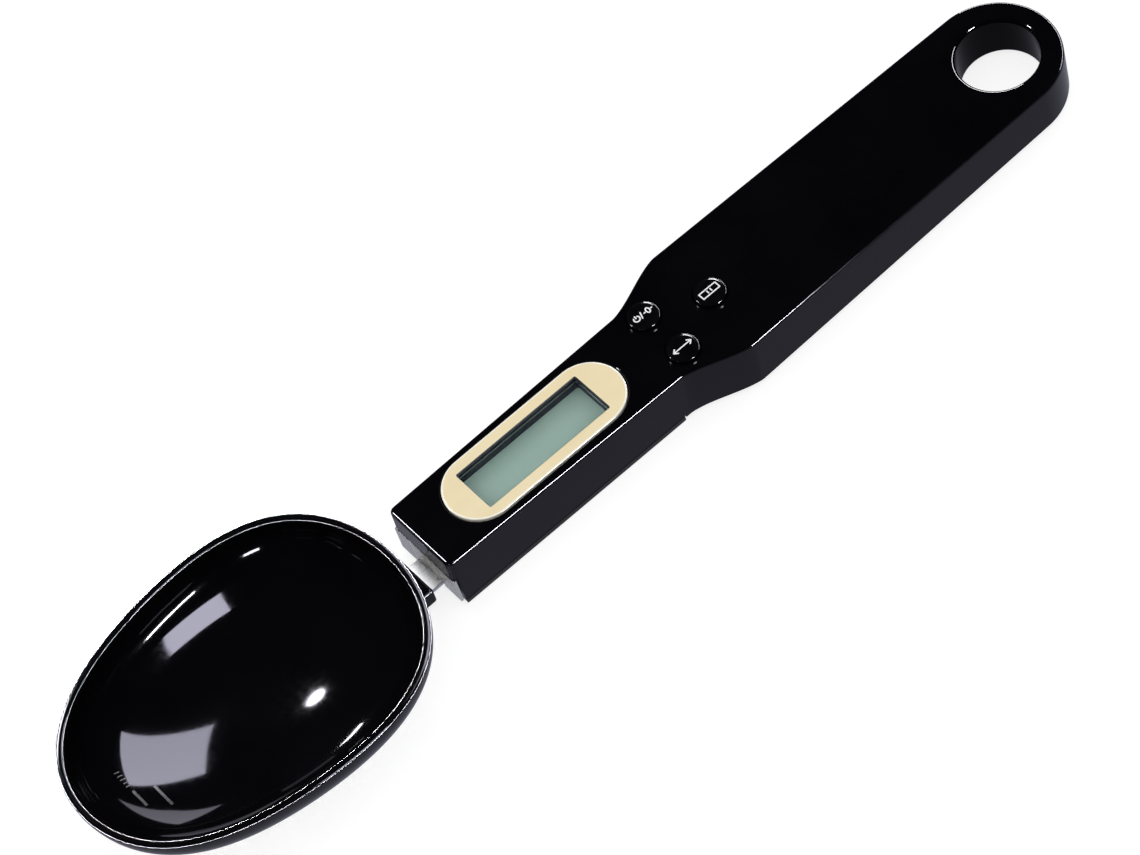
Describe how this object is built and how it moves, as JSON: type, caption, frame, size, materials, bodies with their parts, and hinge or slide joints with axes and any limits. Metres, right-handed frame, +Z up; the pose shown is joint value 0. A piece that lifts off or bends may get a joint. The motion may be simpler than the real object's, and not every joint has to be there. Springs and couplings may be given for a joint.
{
  "type": "digital spoon scale",
  "caption": "Handheld kitchen scale: an egg-shaped weighing spoon on a load cell, in a flat handle with a small display, press keys and a hanging hole.",
  "frame": {"origin": "bottom centre of the bounding box, on the plane that the handle's underside rests on", "axes": "+X along the handle from the spoon to the hanging hole, +Y to the side of the on/off key, +Z up"},
  "size_m": [0.239, 0.056, 0.0172],
  "materials": {
    "black_gloss": "glossy moulded ABS",
    "black_inner": "matt moulded plastic",
    "cream_bezel": "glossy cream plate with a bright edge",
    "clear_pane": "clear pane",
    "lcd": "grey-green reflective LCD, switched off",
    "contact_rubber": "layered conductive rubber",
    "board_green": "solder resist",
    "aluminium": "milled",
    "bright_steel": "bright plated",
    "contact_brass": "stamped sheet",
    "switch_grey": "matt",
    "white_plastic": "matt",
    "gauge_amber": "polyimide film",
    "wire_red": "PVC sleeve",
    "wire_black": "PVC sleeve",
    "wire_green": "PVC sleeve"
  },
  "bodies": {
    "handle": {"battery_contact_negative": "contact_brass", "battery_contact_positive": "contact_brass", "battery_wire_black": "wire_black", "battery_wire_red": "wire_red", "bottom_casing": "black_gloss", "casing_screw_1": "bright_steel", "casing_screw_2": "bright_steel", "casing_screw_3": "bright_steel", "casing_screw_4": "bright_steel", "cell_screw_1": "bright_steel", "cell_screw_2": "bright_steel", "cell_wire_black": "wire_black", "cell_wire_green": "wire_green", "cell_wire_red": "wire_red", "cell_wire_white": "white_plastic", "circuit_board": "board_green", "coin_cell": "bright_steel", "contact_strip": "contact_rubber", "controller_chip": "black_inner", "crystal": "bright_steel", "display_bezel": "cream_bezel", "display_window": "clear_pane", "hold_switch": "switch_grey", "lcd_frame": "black_inner", "lcd_glass": "lcd", "load_cell": "aluminium", "mode_switch": "switch_grey", "on_off_switch": "switch_grey", "strain_gauge_bottom": "gauge_amber", "strain_gauge_top": "white_plastic", "top_casing": "black_gloss"},
    "on_off_key": {"on_off_button": "black_gloss", "on_off_plunger": "white_plastic"},
    "mode_key": {"mode_button": "black_gloss", "mode_plunger": "white_plastic"},
    "hold_key": {"hold_button": "black_gloss", "hold_plunger": "white_plastic"},
    "weighing_spoon": {"spoon": "black_gloss", "spoon_arm": "bright_steel", "front_shield": "bright_steel", "spoon_screw_1": "bright_steel", "spoon_screw_2": "bright_steel", "arm_screw_1": "bright_steel", "arm_screw_2": "bright_steel"},
    "battery_door": {"battery_cap": "black_gloss"}
  },
  "joints": [
    {"name": "on_off_press", "type": "slide", "parent": "handle", "child": "on_off_key", "axis": [-0.022, 0, -0.9998], "range_m": [0, 0.0004], "stiffness_N_per_m": 600, "springref_m": -0.0004},
    {"name": "mode_press", "type": "slide", "parent": "handle", "child": "mode_key", "axis": [-0.022, 0, -0.9998], "range_m": [0, 0.0004], "stiffness_N_per_m": 600, "springref_m": -0.0004},
    {"name": "hold_press", "type": "slide", "parent": "handle", "child": "hold_key", "axis": [-0.022, 0, -0.9998], "range_m": [0, 0.0004], "stiffness_N_per_m": 600, "springref_m": -0.0004},
    {"name": "load_cell_flex", "type": "hinge", "parent": "handle", "child": "weighing_spoon", "pos_m": [-0.0145, 0, 0.00575], "axis": [0, -1, 0], "range_deg": [0, 0.6], "stiffness_Nm_per_rad": 30},
    {"name": "battery_cap_turn", "type": "hinge", "parent": "handle", "child": "battery_door", "pos_m": [0.062, 0, 0], "axis": [0, 0, -1], "range_deg": [0, 45]}
  ]
}
